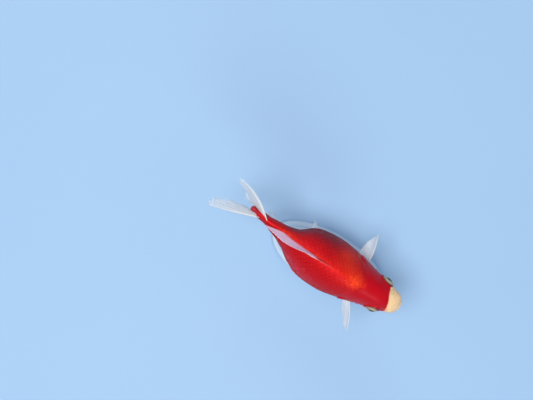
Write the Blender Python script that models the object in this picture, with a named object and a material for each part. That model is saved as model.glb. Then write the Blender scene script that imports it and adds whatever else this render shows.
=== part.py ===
"""A life-size twin-tailed goldfish on a plain display stand.

+X runs towards the fish's snout, +Y to its left and +Z up. The origin is on the floor, at the
middle of the stand's base. The tables are in millimetres, and the meshes in metres.
"""

import bisect
import math

import bmesh
import bpy
from mathutils import Matrix, Vector

MM = 0.001
GAP = 0.3  # what touching solids keep between them

# The fish, from the tip of its snout to the root of its tail fins.
BODY_LENGTH = 80.0
SNOUT_X = 36.6
AXIS_HEIGHT = 47.0  # of the line from the mouth to the tail root, above the floor
BEND_FROM, BEND_SOFTNESS = 0.72, 0.05  # where the tail stem turns left, as shares of the length
BEND_DEG = 9.1

# Where the body is divided, as shares of its length.
SNOUT_END, HEAD_END, TRUNK_END, STEM_END = 0.075, 0.285, 0.745, 1.035

# (share of the length, millimetres from the axis)
HALF_WIDTH = (
    (0.0, 5.0), (0.05, 5.7), (0.11, 7.1), (0.2, 8.9), (0.29, 10.8), (0.38, 12.3),
    (0.5, 13.5), (0.59, 13.1), (0.65, 12.0), (0.7, 9.9), (0.76, 6.6), (0.82, 4.6),
    (0.91, 2.9), (0.96, 2.2), (1.0, 2.2), (1.035, 0.8),
)
BACK = (
    (0.0, 1.9), (0.05, 5.4), (0.12, 8.9), (0.21, 12.0), (0.3, 14.9), (0.38, 17.3),
    (0.46, 18.5), (0.55, 18.0), (0.65, 15.7), (0.76, 12.1), (0.87, 8.7), (0.95, 7.4),
    (1.0, 7.3), (1.035, 5.6),
)
BELLY = (
    (0.0, -2.6), (0.05, -5.6), (0.12, -9.2), (0.21, -12.7), (0.31, -15.6), (0.43, -17.2),
    (0.52, -17.1), (0.61, -15.6), (0.69, -12.8), (0.76, -9.0), (0.84, -5.8), (0.93, -4.3),
    (1.0, -4.5), (1.035, -2.8),
)
WIDEST_HEIGHT = ((0.0, -0.6), (0.15, -1.0), (0.3, -3.2), (0.5, -4.6), (0.68, -4.0), (0.82, 0.6), (1.035, 1.4))
BACK_FULLNESS = ((0.0, 2.3), (0.15, 2.2), (0.3, 1.95), (0.46, 1.72), (0.7, 1.75), (0.85, 1.9), (1.035, 2.1))
BELLY_FULLNESS = ((0.0, 2.2), (0.2, 2.0), (0.4, 2.2), (0.6, 2.3), (0.75, 2.0), (1.035, 2.1))
# A shallow groove along the flank parts the back from the swollen rear of the belly.
FLANK_GROOVE = ((0.0, 0.0), (0.5, 0.0), (0.66, 0.9), (0.74, 0.5), (0.8, 0.0), (1.035, 0.0))
GROOVE_HEIGHT, GROOVE_SPREAD = 1.5, 2.6
# The ridge of the back wanders to the left (+) and right (-) of the middle as the fish turns.
RIDGE_SIDE = (
    (0.0, 0.0), (0.3, -0.3), (0.41, -0.6), (0.53, 0.0), (0.61, 1.0), (0.68, 1.7), (0.74, 1.7),
    (0.79, 1.2), (0.85, 0.6), (0.93, 0.1), (1.035, 0.0),
)
NOSE_ROUNDING = 0.05  # share of the length over which the snout rounds off
NOSE_CROWDING = 1.6  # how much closer together the cross-sections lie towards the nose
RING_POINTS = 32
SHARP_EDGE_DEG = 40

MOUTH_CORNER, MOUTH_SLOPE_DEG = (31.2, -2.7), 24.0
EYE_RADIUS, EYE_CENTRE = 4.05, (24.6, 5.45, 2.3)
GILL_COVER_MIDDLE, GILL_COVER_HALF = (14.9, -1.8), (4.9, 8.0)
GILL_COVER_SLANT = 0.25  # how far forward it lies for each step down
GILL_COVER_DEPTH = 1.4
GILL_COVER_POINTS = 22
GILL_CUT_FROM, GILL_CUT_TO = 3.0, 16.0  # out from the middle of the fish
GILL_COVER_FIRST, GILL_COVER_LAST = 0.18, 0.37  # shares of the length it lies between

FIN_ROOT_THICK, FIN_MARGIN_THICK = 1.1, 0.55

STAND_LENGTH, STAND_WIDTH, STAND_THICK, STAND_BEVEL = 66.0, 30.0, 5.0, 1.2
ROD_RADIUS, ROD_FOOT_RADIUS, ROD_FOOT_HEIGHT = 1.5, 3.4, 2.0
ROD_NECK, ROD_TOP, ROD_POINTS = 0.4, AXIS_HEIGHT - 8.0, 16
ROD_PLACES = {"stand_rod_front": 9.0, "stand_rod_rear": -14.0}

MATERIALS = {
    "skin_red": ((0.72, 0.025, 0.02), 0.3, 0.1),
    "skin_cream": ((0.86, 0.6, 0.36), 0.35, 0.0),
    "fin_clear": ((0.8, 0.85, 0.88), 0.3, 0.0),
    "eye": ((0.28, 0.2, 0.12), 0.1, 0.2),
    "stand_paint": ((0.7, 0.69, 0.66), 0.45, 0.0),
    "stand_steel": ((0.6, 0.6, 0.6), 0.3, 1.0),
}


def clear_scene():
    for old in list(bpy.data.objects):
        bpy.data.objects.remove(old, do_unlink=True)


def material(name):
    found = bpy.data.materials.get(name)
    if found:
        return found
    colour, roughness, metallic = MATERIALS[name]
    found = bpy.data.materials.new(name)
    found.use_nodes = True
    shader = found.node_tree.nodes["Principled BSDF"]
    shader.inputs["Base Color"].default_value = (*colour, 1.0)
    shader.inputs["Roughness"].default_value = roughness
    shader.inputs["Metallic"].default_value = metallic
    found.diffuse_color = (*colour, 1.0)
    return found


def smooth(table, at):
    """The value of a table of (place, value) at a place, on a curve that never overshoots it."""
    places, values = zip(*table)
    steps = [
        (values[i + 1] - values[i]) / (places[i + 1] - places[i])
        for i in range(len(places) - 1)
    ]
    slopes = [steps[0]]
    for before, after in zip(steps, steps[1:]):
        turns = before * after <= 0
        slopes.append(0.0 if turns else 2 * before * after / (before + after))
    slopes.append(steps[-1])
    i = max(0, min(bisect.bisect(places, at) - 1, len(steps) - 1))
    width = places[i + 1] - places[i]
    t = (at - places[i]) / width
    rise = values[i + 1] - values[i]
    curved = t * (1 - t) * ((slopes[i] * width - rise) * (1 - t) - (slopes[i + 1] * width - rise) * t)
    return values[i] + rise * t + curved


def x_of(share):
    return SNOUT_X - BODY_LENGTH * share


def turn_at(share):
    """How far the spine has turned left at a share of the length, in radians."""
    t = (share - BEND_FROM + BEND_SOFTNESS) / (2 * BEND_SOFTNESS)
    t = min(1.0, max(0.0, t))
    return math.radians(BEND_DEG) * t * t * (3 - 2 * t)


def spine_point(x, steps=24):
    """The spine's own place and heading where the straight fish has x."""
    share = (SNOUT_X - x) / BODY_LENGTH
    start = BEND_FROM - BEND_SOFTNESS
    if share <= start:
        return Vector((x, 0.0)), 0.0
    place, step = Vector((x_of(start), 0.0)), (share - start) / steps
    for i in range(steps):
        turn = turn_at(start + (i + 0.5) * step)
        place += BODY_LENGTH * step * Vector((-math.cos(turn), math.sin(turn)))
    return place, turn_at(share)


def posed(x, y, z):
    """A point of the straight fish, in millimetres, as it lies on the bent one, in metres."""
    place, turn = spine_point(x)
    bent = Vector((place.x + y * math.sin(turn), place.y + y * math.cos(turn), z))
    return (bent + Vector((0.0, 0.0, AXIS_HEIGHT))) * MM


def signed_power(value, power):
    return math.copysign(abs(value) ** power, value)


def ring(share, swell=0.0):
    """One cross-section of the body, grown by swell, from the left side over the back."""
    middle = smooth(WIDEST_HEIGHT, share)
    rounding = 1.0
    if share < NOSE_ROUNDING:
        rounding = math.sqrt(1 - (1 - share / NOSE_ROUNDING) ** 2)
    half = smooth(HALF_WIDTH, share) * rounding + swell
    up = (smooth(BACK, share) - middle) * rounding + swell
    down = (middle - smooth(BELLY, share)) * rounding + swell
    groove = smooth(FLANK_GROOVE, share)
    ridge = smooth(RIDGE_SIDE, share)
    found = []
    for i in range(RING_POINTS):
        angle = 2 * math.pi * i / RING_POINTS
        full = smooth(BACK_FULLNESS if angle < math.pi else BELLY_FULLNESS, share)
        y = half * signed_power(math.cos(angle), 2 / full)
        z = (up if angle < math.pi else down) * signed_power(math.sin(angle), 2 / full)
        pinch = groove * math.exp(-(((middle + z - GROOVE_HEIGHT) / GROOVE_SPREAD) ** 2))
        y += ridge * max(0.0, z / up) ** 2 - pinch * math.cos(angle)
        found.append((y, middle + z))
    return found


def shares_between(first, last, count):
    """Stations along the body, closer together where the snout rounds off."""
    found = []
    for i in range(count + 1):
        t = i / count
        if first == 0.0:
            t **= NOSE_CROWDING
        found.append(first + (last - first) * t)
    return found


def new_object(name, mesh, slot=None):
    made = bpy.data.objects.new(name, mesh)
    bpy.context.collection.objects.link(made)
    if slot:
        mesh.materials.append(material(slot))
    mesh.shade_smooth()
    mesh.set_sharp_from_angle(angle=math.radians(SHARP_EDGE_DEG))
    return made


def as_cutter(made):
    made.hide_render = True
    made.display_type = "WIRE"
    return made


def loft(name, first, last, count, slot=None, swell=0.0):
    """A closed length of the body between two shares of its length."""
    work = bmesh.new()
    rings = []
    stations = shares_between(first, last, count)
    if first == 0.0:
        stations = stations[1:]
    for share in stations:
        x = x_of(share)
        rings.append([work.verts.new(posed(x, y, z)) for y, z in ring(share, swell)])
    for before, after in zip(rings, rings[1:]):
        for i in range(RING_POINTS):
            j = (i + 1) % RING_POINTS
            work.faces.new((before[i], before[j], after[j], after[i]))
    if first == 0.0:
        tip = work.verts.new(posed(x_of(0.0) + swell, 0.0, smooth(WIDEST_HEIGHT, 0.0)))
        for i in range(RING_POINTS):
            work.faces.new((tip, rings[0][(i + 1) % RING_POINTS], rings[0][i]))
    else:
        work.faces.new(rings[0][::-1])
    work.faces.new(rings[-1])
    bmesh.ops.recalc_face_normals(work, faces=work.faces)
    mesh = bpy.data.meshes.new(name)
    work.to_mesh(mesh)
    work.free()
    return new_object(name, mesh, slot)


def boolean(target, cutter, operation="DIFFERENCE"):
    step = target.modifiers.new("by_" + cutter.name, "BOOLEAN")
    step.operation = operation
    step.solver = "EXACT"
    step.object = cutter


def half_gap_share():
    return GAP / 2 / BODY_LENGTH


def body():
    """The snout, head, trunk and tail stem, parted by thin cuts."""
    half = half_gap_share()
    loft("snout", 0.0, SNOUT_END - half, 7, "skin_cream")
    loft("jaw_lower", 0.0, SNOUT_END - half, 7, "skin_cream")
    loft("head", SNOUT_END + half, HEAD_END - half, 9, "skin_red")
    loft("trunk", HEAD_END + half, TRUNK_END - half, 14, "skin_red")
    loft("tail_stem", TRUNK_END + half, STEM_END, 9, "skin_red")


def mouth():
    """Parts the snout from the lower jaw along the line of the mouth."""
    slope = math.radians(MOUTH_SLOPE_DEG)
    across = Vector((-math.sin(slope), 0.0, math.cos(slope)))
    on_line = posed(MOUTH_CORNER[0], 0.0, MOUTH_CORNER[1])
    for name, side in (("snout", 1.0), ("jaw_lower", -1.0)):
        mesh = bpy.data.objects[name].data
        work = bmesh.new()
        work.from_mesh(mesh)
        cut = bmesh.ops.bisect_plane(
            work,
            geom=work.verts[:] + work.edges[:] + work.faces[:],
            plane_co=on_line + across * side * GAP / 2 * MM,
            plane_no=across * side,
            clear_inner=True,
        )
        edges = [e for e in cut["geom_cut"] if isinstance(e, bmesh.types.BMEdge)]
        bmesh.ops.edgeloop_fill(work, edges=edges)
        bmesh.ops.recalc_face_normals(work, faces=work.faces)
        work.to_mesh(mesh)
        work.free()


def ball(name, centre, radius, slot=None, segments=20, rings=14):
    work = bmesh.new()
    bmesh.ops.create_uvsphere(work, u_segments=segments, v_segments=rings, radius=radius * MM)
    # The poles lie across the fish, where the pupils are.
    turn = Matrix.Rotation(math.radians(90), 4, "X")
    bmesh.ops.transform(work, matrix=Matrix.Translation(centre) @ turn, verts=work.verts)
    mesh = bpy.data.meshes.new(name)
    work.to_mesh(mesh)
    work.free()
    return new_object(name, mesh, slot)


def eyes():
    for name, side in (("eye_left", 1), ("eye_right", -1)):
        x, y, z = EYE_CENTRE
        centre = posed(x, y * side, z)
        ball(name, centre, EYE_RADIUS, "eye")
        socket = as_cutter(ball("cut_" + name, centre, EYE_RADIUS + GAP))
        boolean(bpy.data.objects["head"], socket)


def gill_plate(name, side, grow):
    """A slanting oval prism across one side of the head."""
    (mid_x, mid_z), (half_x, half_z) = GILL_COVER_MIDDLE, GILL_COVER_HALF
    outline = []
    for i in range(GILL_COVER_POINTS):
        angle = 2 * math.pi * i / GILL_COVER_POINTS
        z = (half_z + grow) * math.sin(angle)
        x = (half_x + grow) * math.cos(angle) - GILL_COVER_SLANT * z
        outline.append((mid_x + x, mid_z + z))
    work = bmesh.new()
    near = [work.verts.new(posed(x, side * GILL_CUT_FROM, z)) for x, z in outline]
    far = [work.verts.new(posed(x, side * GILL_CUT_TO, z)) for x, z in outline]
    work.faces.new(near)
    work.faces.new(far[::-1])
    for i in range(len(outline)):
        j = (i + 1) % len(outline)
        work.faces.new((near[i], far[i], far[j], near[j]))
    bmesh.ops.recalc_face_normals(work, faces=work.faces)
    mesh = bpy.data.meshes.new(name)
    work.to_mesh(mesh)
    work.free()
    return new_object(name, mesh)


def gill_covers():
    """Two thin plates let into the head and the front of the trunk, behind the eyes."""
    first, last = GILL_COVER_FIRST, GILL_COVER_LAST
    under = as_cutter(loft("cut_under_gills", first, last, 8, swell=-GILL_COVER_DEPTH))
    deeper = as_cutter(loft("cut_below_gills", first, last, 8, swell=-GILL_COVER_DEPTH - GAP))
    for name, side in (("gill_cover_left", 1), ("gill_cover_right", -1)):
        cover = loft(name, first, last, 8, "skin_red")
        boolean(cover, as_cutter(gill_plate("cut_" + name, side, 0.0)), "INTERSECT")
        boolean(cover, under)
        pocket = as_cutter(gill_plate("cut_pocket_" + name, side, GAP))
        boolean(pocket, deeper)
        boolean(bpy.data.objects["head"], pocket)
        boolean(bpy.data.objects["trunk"], pocket)


class Ray:
    """One fin ray: a bowed line from its root to its tip, on the straight fish."""

    def __init__(self, share, root, tip, bow=(0.0, 0.0, 0.0)):
        self.share, self.root, self.tip, self.bow = share, root, tip, bow


def ray_between(keys, share):
    """The root, tip and bow that the key rays give at a share of the fin's spread."""
    found = []
    for part in ("root", "tip", "bow"):
        axes = [[(key.share, getattr(key, part)[k]) for key in keys] for k in range(3)]
        found.append(Vector([smooth(table, share) for table in axes]))
    return found


def fin(name, keys, rays, steps):
    """A thin bowed blade through the key rays, cut away where it would enter the body."""
    middle = []
    for i in range(rays):
        root, tip, bow = ray_between(keys, i / (rays - 1))
        line = []
        for j in range(steps):
            t = j / (steps - 1)
            line.append(posed(*(root.lerp(tip, t) + bow * 4 * t * (1 - t))))
        middle.append(line)
    work = bmesh.new()
    sides = ([], [])
    for i in range(rays):
        rows = ([], [])
        for j in range(steps):
            across = middle[min(i + 1, rays - 1)][j] - middle[max(i - 1, 0)][j]
            along = middle[i][min(j + 1, steps - 1)] - middle[i][max(j - 1, 0)]
            normal = across.cross(along).normalized()
            t = j / (steps - 1)
            half = (FIN_ROOT_THICK + (FIN_MARGIN_THICK - FIN_ROOT_THICK) * t) / 2 * MM
            rows[0].append(work.verts.new(middle[i][j] + normal * half))
            rows[1].append(work.verts.new(middle[i][j] - normal * half))
        sides[0].append(rows[0])
        sides[1].append(rows[1])
    for i in range(rays - 1):
        for j in range(steps - 1):
            for side in sides:
                work.faces.new((side[i][j], side[i + 1][j], side[i + 1][j + 1], side[i][j + 1]))
    rim = [(i, 0) for i in range(rays)] + [(rays - 1, j) for j in range(1, steps)]
    rim += [(i, steps - 1) for i in range(rays - 2, -1, -1)] + [(0, j) for j in range(steps - 2, 0, -1)]
    for (i, j), (k, m) in zip(rim, rim[1:] + rim[:1]):
        work.faces.new((sides[0][i][j], sides[0][k][m], sides[1][k][m], sides[1][i][j]))
    bmesh.ops.recalc_face_normals(work, faces=work.faces)
    mesh = bpy.data.meshes.new(name)
    work.to_mesh(mesh)
    work.free()
    made = new_object(name, mesh, "fin_clear")
    boolean(made, bpy.data.objects["cut_body"])
    return made


def dorsal_fin():
    """Half folded back along the ridge of the back, leaning to the right."""
    fin("dorsal_fin", [
        Ray(0.0, (-0.6, -0.3, 17.2), (-14.2, -0.6, 24.0), (0.3, 0.1, 0.9)),
        Ray(0.35, (-8.5, 0.6, 16.6), (-22.5, -0.7, 21.0), (0.0, 0.2, 0.7)),
        Ray(0.7, (-17.5, 1.6, 14.0), (-30.8, -2.2, 16.0), (0.0, 0.2, 0.5)),
        Ray(1.0, (-25.8, 1.2, 11.0), (-38.8, -2.4, 10.6), (0.0, 0.2, 0.3)),
    ], 14, 7)


def pectoral_fins():
    """The right one is spread forwards as a brake, and the left one lies a little further back."""
    fin("pectoral_fin_right", [
        Ray(0.0, (14.0, -8.0, -8.6), (21.5, -24.0, -7.5), (0.7, 0.3, 0.6)),
        Ray(0.4, (12.6, -8.0, -9.5), (18.9, -20.8, -11.4), (0.4, 0.2, 0.2)),
        Ray(1.0, (10.6, -7.6, -10.8), (13.4, -13.2, -14.0), (0.2, 0.1, 0.0)),
    ], 9, 7)
    fin("pectoral_fin_left", [
        Ray(0.0, (14.0, 8.0, -8.6), (11.2, 24.4, -8.0), (1.0, -0.2, 0.6)),
        Ray(0.4, (12.6, 8.0, -9.5), (9.6, 21.6, -12.0), (0.7, -0.2, 0.2)),
        Ray(1.0, (10.6, 7.6, -10.8), (8.2, 13.6, -14.2), (0.2, -0.1, 0.0)),
    ], 9, 7)


def pelvic_fins():
    """The left one is spread, and the right one trails under the belly."""
    fin("pelvic_fin_left", [
        Ray(0.0, (-3.0, 5.2, -14.4), (-18.9, 14.9, -18.6), (1.4, -1.4, -1.2)),
        Ray(0.4, (-4.4, 4.4, -14.8), (-18.0, 12.0, -21.8), (1.0, -1.2, -1.2)),
        Ray(1.0, (-6.0, 3.0, -15.2), (-13.8, 6.2, -21.2), (0.3, -0.3, -0.6)),
    ], 9, 7)
    fin("pelvic_fin_right", [
        Ray(0.0, (-3.0, -5.2, -14.4), (-20.4, -10.4, -19.2), (1.2, 1.6, -1.2)),
        Ray(0.4, (-4.4, -4.4, -14.8), (-19.4, -8.0, -22.2), (0.8, 1.2, -1.2)),
        Ray(1.0, (-6.0, -3.0, -15.2), (-14.6, -4.2, -21.2), (0.2, 0.3, -0.6)),
    ], 9, 7)


def anal_fins():
    """A pair, as a twin tail has, both washed to the left by the turn of the tail stem."""
    fin("anal_fin_left", [
        Ray(0.0, (-25.4, 0.9, -8.4), (-41.6, 4.6, -15.4), (0.6, 0.6, -0.8)),
        Ray(0.5, (-28.6, 1.0, -6.6), (-41.2, 3.4, -12.0), (0.2, 0.4, -0.5)),
        Ray(1.0, (-31.8, 1.0, -5.0), (-39.0, 2.2, -8.0), (0.0, 0.2, -0.2)),
    ], 8, 6)
    fin("anal_fin_right", [
        Ray(0.0, (-25.4, -0.9, -8.4), (-39.6, -2.6, -17.0), (0.6, 0.0, -0.8)),
        Ray(0.5, (-28.6, -1.0, -6.6), (-40.0, -2.2, -13.0), (0.2, 0.0, -0.5)),
        Ray(1.0, (-31.8, -1.0, -5.0), (-38.6, -1.6, -8.2), (0.0, 0.0, -0.2)),
    ], 8, 6)


def tail_fins():
    """Two forked halves, each of an upper and a lower lobe, spread to either side of the stem."""
    root_x = x_of(1.0)
    lobes = {
        "tail_fin_left_upper": (
            Ray(0.0, (2.0, 0.7, 6.6), (-18.1, 7.3, 16.0), (0.0, 2.4, 0.8)),
            Ray(0.5, (-0.6, 0.7, 4.4), (-14.6, 5.2, 9.4), (0.0, 1.0, 0.0)),
            Ray(1.0, (-1.4, 0.7, 1.6), (-9.2, 1.6, 2.2), (0.0, 0.3, 0.0)),
        ),
        "tail_fin_left_lower": (
            Ray(0.0, (-1.4, 0.7, 1.2), (-9.2, 1.6, 1.6), (0.0, 0.3, 0.0)),
            Ray(0.5, (-0.6, 0.7, -1.4), (-14.2, 5.0, -5.6), (0.0, 0.8, 0.0)),
            Ray(1.0, (2.0, 0.7, -3.6), (-17.0, 6.4, -11.6), (0.0, 1.8, -0.8)),
        ),
        "tail_fin_right_upper": (
            Ray(0.0, (2.0, -0.7, 6.6), (-18.6, -10.6, 14.6), (0.0, -0.4, 0.8)),
            Ray(0.5, (-0.6, -0.7, 4.4), (-16.2, -6.0, 8.8), (0.0, 0.2, 0.0)),
            Ray(1.0, (-1.4, -0.7, 1.6), (-9.6, -1.6, 2.2), (0.0, 0.0, 0.0)),
        ),
        "tail_fin_right_lower": (
            Ray(0.0, (-1.4, -0.7, 1.2), (-9.6, -1.6, 1.6), (0.0, 0.0, 0.0)),
            Ray(0.5, (-0.6, -0.7, -1.4), (-17.4, -6.2, -5.4), (0.0, 0.2, 0.0)),
            Ray(1.0, (2.0, -0.7, -3.6), (-22.6, -10.2, -10.8), (0.0, -0.2, -0.8)),
        ),
    }
    for name, keys in lobes.items():
        for key in keys:
            key.root = (root_x + key.root[0], *key.root[1:])
            key.tip = (root_x + key.tip[0], *key.tip[1:])
        fin(name, keys, 9, 8)


def stand_base():
    """An oval plate with a softened top edge."""
    work = bmesh.new()
    bmesh.ops.create_circle(work, cap_ends=True, segments=48, radius=1.0)
    for corner in work.verts:
        corner.co.x *= STAND_LENGTH / 2 * MM
        corner.co.y *= STAND_WIDTH / 2 * MM
    raised = bmesh.ops.extrude_face_region(work, geom=work.faces[:])
    top = [v for v in raised["geom"] if isinstance(v, bmesh.types.BMVert)]
    bmesh.ops.translate(work, verts=top, vec=(0.0, 0.0, STAND_THICK * MM))
    bmesh.ops.recalc_face_normals(work, faces=work.faces)
    high = STAND_THICK * MM / 2
    rim = [e for e in work.edges if all(v.co.z > high for v in e.verts)]
    bmesh.ops.bevel(work, geom=rim, offset=STAND_BEVEL * MM, segments=3, profile=0.5, affect="EDGES")
    mesh = bpy.data.meshes.new("stand_base")
    work.to_mesh(mesh)
    work.free()
    new_object("stand_base", mesh, "stand_paint")


def stand_rods():
    """Turned rods with small feet, their tops cut to fit the belly."""
    for name, x in ROD_PLACES.items():
        bottom = STAND_THICK + GAP
        turned = (
            (ROD_FOOT_RADIUS, bottom),
            (ROD_FOOT_RADIUS, bottom + ROD_FOOT_HEIGHT * 0.6),
            (ROD_RADIUS + ROD_NECK, bottom + ROD_FOOT_HEIGHT),
            (ROD_RADIUS, bottom + ROD_FOOT_HEIGHT * 1.6),
            (ROD_RADIUS, ROD_TOP),
        )
        work = bmesh.new()
        rings = []
        for radius, z in turned:
            rings.append([])
            for i in range(ROD_POINTS):
                angle = 2 * math.pi * i / ROD_POINTS
                place = Vector((x + radius * math.cos(angle), radius * math.sin(angle), z))
                rings[-1].append(work.verts.new(place * MM))
        for low, high in zip(rings, rings[1:]):
            for i in range(ROD_POINTS):
                j = (i + 1) % ROD_POINTS
                work.faces.new((low[i], low[j], high[j], high[i]))
        work.faces.new(rings[0][::-1])
        work.faces.new(rings[-1])
        mesh = bpy.data.meshes.new(name)
        work.to_mesh(mesh)
        work.free()
        made = new_object(name, mesh, "stand_steel")
        boolean(made, bpy.data.objects["cut_body"])


def main():
    clear_scene()
    as_cutter(loft("cut_body", 0.2, STEM_END, 28, swell=GAP))
    body()
    mouth()
    eyes()
    gill_covers()
    dorsal_fin()
    pectoral_fins()
    pelvic_fins()
    anal_fins()
    tail_fins()
    stand_base()
    stand_rods()


main()
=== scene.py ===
"""A life-size twin-tailed goldfish on its display stand: skin, scales, fins, eyes, stand and light."""

import math
from contextlib import contextmanager

import bpy
import numpy as np
from mathutils import Matrix, Vector


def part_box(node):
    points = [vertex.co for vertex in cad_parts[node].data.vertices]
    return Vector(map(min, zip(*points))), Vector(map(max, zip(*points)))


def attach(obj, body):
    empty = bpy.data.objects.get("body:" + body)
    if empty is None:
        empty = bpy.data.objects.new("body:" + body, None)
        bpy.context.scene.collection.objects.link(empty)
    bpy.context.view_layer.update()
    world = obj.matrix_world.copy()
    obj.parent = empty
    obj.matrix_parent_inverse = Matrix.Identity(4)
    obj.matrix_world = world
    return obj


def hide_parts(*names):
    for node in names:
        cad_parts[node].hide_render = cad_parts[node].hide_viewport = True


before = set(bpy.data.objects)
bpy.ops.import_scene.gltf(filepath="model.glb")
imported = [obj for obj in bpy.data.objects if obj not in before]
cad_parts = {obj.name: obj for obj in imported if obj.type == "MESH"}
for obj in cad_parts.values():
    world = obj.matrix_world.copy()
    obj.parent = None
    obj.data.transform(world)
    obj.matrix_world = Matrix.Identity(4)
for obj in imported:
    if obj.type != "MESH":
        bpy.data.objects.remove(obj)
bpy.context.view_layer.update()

MM = 0.001

# The body as the solids have it. Shares of its length run from the snout to the tail root, and
# the sizes are millimetres from its axis.
BODY_LENGTH, SNOUT_X, AXIS_HEIGHT = 80.0, 36.6, 47.0
BEND_FROM, BEND_SOFTNESS, BEND_DEG = 0.72, 0.05, 9.1
SKIN_END = 1.035
STEM_END_LENGTH, STEM_END_HEIGHT = 2.3, 1.2
HALF_WIDTH = (
    (0.0, 5.0), (0.05, 5.7), (0.11, 7.1), (0.2, 8.9), (0.29, 10.8), (0.38, 12.3),
    (0.5, 13.5), (0.59, 13.1), (0.65, 12.0), (0.7, 9.9), (0.76, 6.6), (0.82, 4.6),
    (0.91, 2.9), (0.96, 2.2), (1.0, 2.25), (1.035, 1.9),
)
BACK = (
    (0.0, 1.9), (0.05, 5.4), (0.12, 8.9), (0.21, 12.0), (0.3, 14.9), (0.38, 17.3),
    (0.46, 18.5), (0.55, 18.0), (0.65, 15.7), (0.76, 12.1), (0.87, 8.7), (0.95, 7.4),
    (1.0, 7.3), (1.035, 5.6),
)
BELLY = (
    (0.0, -2.6), (0.05, -5.6), (0.12, -9.2), (0.21, -12.7), (0.31, -15.6), (0.43, -17.2),
    (0.52, -17.1), (0.61, -15.6), (0.69, -12.8), (0.76, -9.0), (0.84, -5.8), (0.93, -4.3),
    (1.0, -4.5), (1.035, -2.8),
)
WIDEST_HEIGHT = (
    (0.0, -0.6), (0.15, -1.0), (0.3, -3.2), (0.5, -4.6), (0.68, -4.0), (0.82, 0.6), (1.035, 1.4),
)
BACK_FULLNESS = (
    (0.0, 2.3), (0.15, 2.2), (0.3, 1.95), (0.46, 1.72), (0.7, 1.75), (0.85, 1.9), (1.035, 2.1),
)
BELLY_FULLNESS = ((0.0, 2.2), (0.2, 2.0), (0.4, 2.2), (0.6, 2.3), (0.75, 2.0), (1.035, 2.1))
SIDE_FULLNESS = 2.1
FLANK_GROOVE = ((0.0, 0.0), (0.5, 0.0), (0.66, 0.9), (0.74, 0.5), (0.8, 0.0), (1.035, 0.0))
GROOVE_HEIGHT, GROOVE_SPREAD = 1.5, 2.6
RIDGE_SIDE = (
    (0.0, 0.0), (0.3, -0.3), (0.41, -0.6), (0.53, 0.0), (0.61, 1.0), (0.68, 1.7), (0.74, 1.7),
    (0.79, 1.2), (0.85, 0.6), (0.93, 0.1), (1.035, 0.0),
)
NOSE_ROUNDING, HEAD_SHARE = 0.05, 0.4

# The skin lies inside the solids by the depth of the scales.
SKIN_INSET = 0.22
LATERAL_LINE = ((0.28, 4.4), (0.4, 2.4), (0.55, 0.6), (0.7, 0.2), (0.85, 0.9), (1.035, 1.4))
SCALE_LENGTH = ((0.28, 2.0), (0.45, 2.25), (0.7, 2.1), (0.85, 1.85), (1.035, 1.5))
SCALE_HEIGHT = ((0.28, 1.25), (0.45, 1.5), (0.65, 1.4), (0.8, 1.1), (1.035, 0.8))
SCALE_THICK, TALLEST_SCALE, FIRST_SCALE_X = 0.08, 1.5, 15.5

EYE_CENTRE, EYE_RADIUS, IRIS_RADIUS, EYE_FLAT = np.array((24.6, 5.45, 2.3)), 4.05, 2.95, 0.87
EYE_AXIS = np.array((0.18, 0.94, 0.27))
EYE_AXIS /= np.linalg.norm(EYE_AXIS)


def curve(table, at):
    """The values of a table of (place, value) at many places, on a curve that never overshoots it."""
    at = np.asarray(at, float)
    places, values = np.array(table).T
    width = np.diff(places)
    steps = np.diff(values) / width
    slopes = np.concatenate((steps[:1], np.zeros(len(steps) - 1), steps[-1:]))
    before, after = steps[:-1], steps[1:]
    bends_on = before * after > 0
    slopes[1:-1][bends_on] = (2 * before * after / (before + after + 1e-30))[bends_on]
    i = np.clip(np.searchsorted(places, at, "right") - 1, 0, len(steps) - 1)
    t = (at - places[i]) / width[i]
    rise = values[i + 1] - values[i]
    bowed = (slopes[i] * width[i] - rise) * (1 - t) - (slopes[i + 1] * width[i] - rise) * t
    return values[i] + rise * t + t * (1 - t) * bowed


def soft_step(value, low, high):
    t = np.clip((np.asarray(value, float) - low) / (high - low), 0.0, 1.0)
    return t * t * (3 - 2 * t)


def bell(distance, spread):
    return np.exp(-((np.asarray(distance, float) / spread) ** 2))


def folded(points):
    """The points, with those of the fish's right side folded over onto its left."""
    return np.stack((points[:, 0], np.abs(points[:, 1]), points[:, 2]), 1)


def spine_line():
    """Where the bent spine lies for each x of the straight fish, and how far it has turned left."""
    shares = np.linspace(-0.1, 1.6, 1701)
    turn = np.radians(BEND_DEG) * soft_step(shares, BEND_FROM - BEND_SOFTNESS, BEND_FROM + BEND_SOFTNESS)
    step = BODY_LENGTH * (shares[1] - shares[0])
    x = SNOUT_X - BODY_LENGTH * shares[0] - np.concatenate(([0.0], np.cumsum(step * np.cos(turn[:-1]))))
    y = np.concatenate(([0.0], np.cumsum(step * np.sin(turn[:-1]))))
    return shares, x, y, turn


SPINE = spine_line()


def posed(points):
    """Points of the straight fish, in millimetres, as they lie on the bent one, in metres."""
    shares, spine_x, spine_y, turns = SPINE
    share = (SNOUT_X - points[:, 0]) / BODY_LENGTH
    turn = np.interp(share, shares, turns)
    x = np.interp(share, shares, spine_x) + points[:, 1] * np.sin(turn)
    y = np.interp(share, shares, spine_y) + points[:, 1] * np.cos(turn)
    return np.stack((x, y, points[:, 2] + AXIS_HEIGHT), 1) * MM


def signed_power(value, power):
    return np.sign(value) * np.abs(value) ** power


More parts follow.
